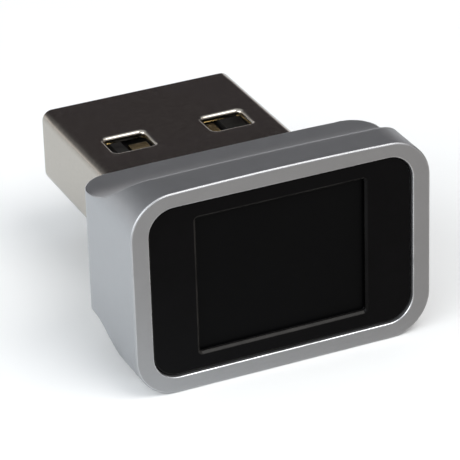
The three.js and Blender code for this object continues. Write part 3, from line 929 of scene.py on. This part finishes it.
ceramics = {
    "capacitor": surface(
        "capacitor_ceramic",
        ((0.26, 0.18, 0.1), (0.36, 0.26, 0.16)),
        (0.4, 0.55),
        patch=0.3,
        grain=0.03,
        grain_height=0.002,
    ),
    "resistor": surface(
        "resistor_ceramic",
        ((0.02, 0.02, 0.024), (0.035, 0.035, 0.04)),
        (0.3, 0.45),
        patch=0.3,
        grain=0.03,
        grain_height=0.001,
    ),
}
for kind, count in (("capacitor", 6), ("resistor", 4)):
    for number in range(1, count + 1):
        node_name = f"{kind}_{number}"
        low, high = node_box(node_name)
        along = 0 if high[0] - low[0] > high[2] - low[2] else 2

        def choose(middle):
            return 1 if min(middle[along] - low[along], high[along] - middle[along]) < CAP_L else 0

        softened(f"{kind}_block_{number}", node_name, [ceramics[kind], tin], f"{kind}_ceramic", 0.02, choose)
        for end in (low[along], high[along]):
            joint = (low + high) / 2
            joint[1] = low[1]
            joint[along] = end
            joints.append(tuple(joint))

# Each solder joint is a low dome of metal, tilted a little differently from its neighbours.
tree, given, result = named_tree("solder_joints", ["Width", "Height"])
dome = node(tree, "GeometryNodeMeshUVSphere", Segments=14, Rings=8, Radius=1.0)
squat = node(
    tree,
    "ShaderNodeCombineXYZ",
    X=given.outputs["Width"],
    Y=given.outputs["Height"],
    Z=given.outputs["Width"],
)
turn = node(tree, "FunctionNodeRandomValue", {"data_type": "FLOAT_VECTOR"})
turn.inputs["Min"].default_value = (0.0, -JOINT_TILT, 0.0)
turn.inputs["Max"].default_value = (0.0, JOINT_TILT, 0.0)
turn.inputs["Seed"].default_value = JOINT_SEED
placed = node(
    tree,
    "GeometryNodeInstanceOnPoints",
    Points=given.outputs["Geometry"],
    Instance=dome.outputs["Mesh"],
    Rotation=turn.outputs["Value"],
    Scale=squat.outputs["Vector"],
)
real = node(tree, "GeometryNodeRealizeInstances", Geometry=placed.outputs["Instances"])
painted = node(tree, "GeometryNodeSetMaterial", Geometry=real.outputs["Geometry"], Material=tin)
tree.links.new(painted.outputs["Geometry"], result.inputs["Geometry"])
grown("solder_joints", joints, tree, {"Width": 0.19, "Height": 0.13}, tin, "crystal_can")

# ---------------------------------------------------------------- carrier and grounding spring
# A moulded collar centres the plug in the housing, and a bent copper leaf in its notch joins the plug's
# shell to the metal housing.

moulded_black = surface(
    "moulded_black",
    ((0.012, 0.0115, 0.0115), (0.02, 0.019, 0.019)),
    (0.5, 0.65),
    patch=0.8,
    grain=0.07,
    grain_height=0.004,
    specular=0.3,
    edge_wear_and_highlight={"colour": (0.16, 0.155, 0.15), "gloss": 0.85},
)
spring_copper = surface(
    "spring_copper",
    ((0.5, 0.28, 0.15), (0.66, 0.42, 0.26)),
    (0.22, 0.34),
    patch=0.6,
    grain=0.05,
    grain_height=0.002,
    metallic=1.0,
    edge_wear_and_highlight={"colour": (0.75, 0.52, 0.36), "gloss": 0.8},
)
softened("carrier_collar", "plug_carrier", [moulded_black], "moulded_black", 0.05)
softened("spring_leaf", "grounding_spring", [spring_copper], "spring_copper", 0.03)

# ---------------------------------------------------------------- plug shell
# Sheet steel folded into a box and plated in nickel. It closes at a seam underneath, and the rims of its
# four latch windows are drawn inwards. Two legs reach the circuit board.

SHELL_T = 0.3
SHELL_R = 0.62
SHELL_TUBE_REAR = REAR_Y - 3.65
TIP_EASE = 0.15
SEAM_HALF = 0.045
SEAM_DEPTH = 0.06
LATCH = {"w": 2.56, "l": 2.0, "r": 0.3, "x": 3.05, "setback": 5.2}
RIM_R = 0.21
RIM_DEPTH = 0.42
BLOCK_STEPS = 6
BLOCK_MARGIN = 0.75
ARC_STEPS = 8
LEG_HALF_H = 0.7
TUBE_END_EASE = 0.06
SMALL_EASE = 0.03
# Extra sections of the tube, at its rear end and towards its tip.
TUBE_REAR_MARGIN = 0.1
TUBE_REAR_TO = -0.5
TIP_SETBACK = 1.5

shell_low, shell_high = node_box("plug_shell")
SHELL_HALF_W = (shell_high[0] - shell_low[0]) / 2
SHELL_HALF_H = (shell_high[2] - shell_low[2]) / 2
TIP_Y = shell_high[1]
FLAT_HALF = SHELL_HALF_W - SHELL_R
latch_y = TIP_Y - LATCH["setback"] - LATCH["l"] / 2
latch_half = LATCH["l"] / 2 + BLOCK_MARGIN


def shell_loop(inset, y):
    """The shell's section, from its top middle round to the right. The seam shows only on the outside."""
    half_h = SHELL_HALF_H - inset
    r = SHELL_R - inset
    arc_z = SHELL_HALF_H - SHELL_R
    seam = SEAM_DEPTH if inset < SHELL_T / 2 else 0.0
    side = [(x, half_h) for x in np.linspace(0, FLAT_HALF, BLOCK_STEPS + 1)]
    for turn in np.linspace(0, math.pi / 2, ARC_STEPS + 1)[1:]:
        side.append((FLAT_HALF + r * math.sin(turn), arc_z + r * math.cos(turn)))
    for turn in np.linspace(0, math.pi / 2, ARC_STEPS + 1):
        side.append((FLAT_HALF + r * math.cos(turn), -arc_z - r * math.sin(turn)))
    side += [(x, -half_h) for x in np.linspace(FLAT_HALF, SEAM_HALF, BLOCK_STEPS + 1)[1:]]
    loop = side + [(0, -half_h + seam)] + [(-x, z) for x, z in side[:0:-1]]
    return [(x, y, AXIS_Z + z) for x, z in loop]


def latch_loop(side, grow, z):
    """A latch window's outline at height z, starting at its far right corner."""
    loop = []
    corner_x = LATCH["w"] / 2 - LATCH["r"]
    corner_y = LATCH["l"] / 2 - LATCH["r"]
    r = LATCH["r"] + grow
    signs = ((1, 1), (-1, 1), (-1, -1), (1, -1))
    for quarter in range(4):
        for step in range(-2, 3):
            angle = math.radians(45 + 90 * quarter + 22.5 * step)
            x = signs[quarter][0] * corner_x + r * math.cos(angle)
            y = signs[quarter][1] * corner_y + r * math.sin(angle)
            loop.append((side * LATCH["x"] + x, latch_y + y, z))
        ahead = math.radians(90 + 90 * quarter)
        middle_x = (corner_x + r) * math.cos(ahead) if quarter % 2 else 0.0
        middle_y = 0.0 if quarter % 2 else (corner_y + r) * math.sin(ahead)
        loop.append((side * LATCH["x"] + middle_x, latch_y + middle_y, z))
    return loop[2:] + loop[:2]


block_rows = np.linspace(latch_y - latch_half, latch_y + latch_half, BLOCK_STEPS + 1)
rear_rows = np.linspace(SHELL_TUBE_REAR + TUBE_REAR_MARGIN, TUBE_REAR_TO, 4)
tube_rows = np.concatenate([rear_rows, block_rows, [TIP_Y - TIP_SETBACK]])
loops = []
for turn in np.linspace(0, math.pi / 2, 4):
    inset = TUBE_END_EASE * (1 - math.sin(turn))
    loops.append(shell_loop(inset, SHELL_TUBE_REAR + TUBE_END_EASE * (1 - math.cos(turn))))
outer_start = len(loops)
loops += [shell_loop(0.0, y) for y in tube_rows]
for turn in np.linspace(0, math.pi / 2, 7):
    loops.append(shell_loop(TIP_EASE * (1 - math.cos(turn)), TIP_Y - TIP_EASE * (1 - math.sin(turn))))
loops.append(shell_loop(SHELL_T - SMALL_EASE, TIP_Y))
loops.append(shell_loop(SHELL_T, TIP_Y - SMALL_EASE))
inner_start = len(loops)
loops += [shell_loop(SHELL_T, y) for y in tube_rows[::-1]]
loops.append(shell_loop(SHELL_T, SHELL_TUBE_REAR))

first_block = outer_start + int(np.argmin(np.abs(tube_rows - block_rows[0])))
inner_block = inner_start + len(tube_rows) - 1 - int(np.argmin(np.abs(tube_rows - block_rows[-1])))
count = len(loops[0])
top_right = 0
low_right = BLOCK_STEPS + 2 * ARC_STEPS + 1
columns = {
    (1, 1): top_right,
    (1, -1): low_right,
    (-1, -1): count - low_right - BLOCK_STEPS,
    (-1, 1): count - BLOCK_STEPS,
}
skip = set()
for start in columns.values():
    for row in range(BLOCK_STEPS):
        for column in range(BLOCK_STEPS):
            skip.add((first_block + row, (start + column) % count))
            skip.add((inner_block + row, (start + column) % count))
points, faces = skin(loops, skip)


def block_border(first_row, start, side, top, rows_forward):
    """Point numbers round a window's block, from its far right corner and anticlockwise from above."""
    near_first = range(BLOCK_STEPS + 1) if rows_forward else range(BLOCK_STEPS, -1, -1)
    rows = [first_row + i for i in near_first]
    places = [(start + i) % count for i in range(BLOCK_STEPS + 1)]
    if top < 0:
        places.reverse()
    grid = [[row * count + place for place in places] for row in rows]
    far, near = grid[-1], grid[0]
    border = far[:0:-1]
    border += [line[0] for line in grid[:0:-1]]
    border += near[:-1]
    border += [line[-1] for line in grid[:-1]]
    return border


# Steps round a window's drawn rim, from the shell's outer face to its inner face: how far outside the
# window's outline each step lies, and how deep.
rim_steps = [
    (RIM_R * (1 - math.sin(turn)), RIM_R * (1 - math.cos(turn))) for turn in np.linspace(0, math.pi / 2, 7)
]
rim_steps += [
    (0.0, RIM_DEPTH - SMALL_EASE),
    (SMALL_EASE, RIM_DEPTH),
    (0.2, RIM_DEPTH),
    (0.26, 0.36),
    (0.32, SHELL_T),
]
for (side, top), start in columns.items():
    ring = block_border(first_block, start, side, top, True)
    for grow, depth in rim_steps:
        first = len(points)
        points += latch_loop(side, grow, AXIS_Z + top * (SHELL_HALF_H - depth))
        following = list(range(first, len(points)))
        for i in range(len(ring)):
            j = (i + 1) % len(ring)
            faces.append((ring[i], ring[j], following[j], following[i]))
        ring = following
    inner = block_border(inner_block, start, side, top, False)
    for i in range(len(ring)):
        j = (i + 1) % len(ring)
        faces.append((ring[i], ring[j], inner[j], inner[i]))

for side in (-1, 1):
    first = len(points)
    leg = [(shell_low[1], SMALL_EASE), (shell_low[1] + SMALL_EASE, 0.0), (SHELL_TUBE_REAR, 0.0)]
    for y, inset in leg:
        inner_x = SHELL_HALF_W - SHELL_T + inset
        outer_x = SHELL_HALF_W - inset
        high = LEG_HALF_H - inset
        for x, z in ((inner_x, -high), (outer_x, -high), (outer_x, high), (inner_x, high)):
            points.append((side * x, y, AXIS_Z + z))
    for row in range(len(leg) - 1):
        for i in range(4):
            j = (i + 1) % 4
            a = first + row * 4
            faces.append((a + i, a + j, a + 4 + j, a + 4 + i))
    faces.append(tuple(first + i for i in range(4)))
    faces.append(tuple(first + 4 * (len(leg) - 1) + i for i in (3, 2, 1, 0)))

plug_nickel = surface(
    "plug_nickel",
    ((0.375, 0.337, 0.291), (0.46, 0.415, 0.358)),
    (0.17, 0.24),
    patch=0.25,
    grain=0.07,
    grain_height=0.0013,
    metallic=1.0,
    edge_wear_and_highlight={"colour": (0.6, 0.56, 0.51), "gloss": 0.7},
)
add_piece("plug_box", mesh_from("plug_box", points, faces), [plug_nickel], "plug_nickel", "plug_shell")

# ---------------------------------------------------------------- insulator and contacts
# A moulded tongue fills the lower half of the plug, and four gold-plated contacts lie in its grooves.

softened("insulator_tongue", "plug_insulator", [moulded_black], "moulded_black", 0.03)
for kind in ("vbus", "data_minus", "data_plus", "ground"):
    softened(f"strip_{kind}", f"contact_{kind}", [gold], "contact_gold", 0.03)
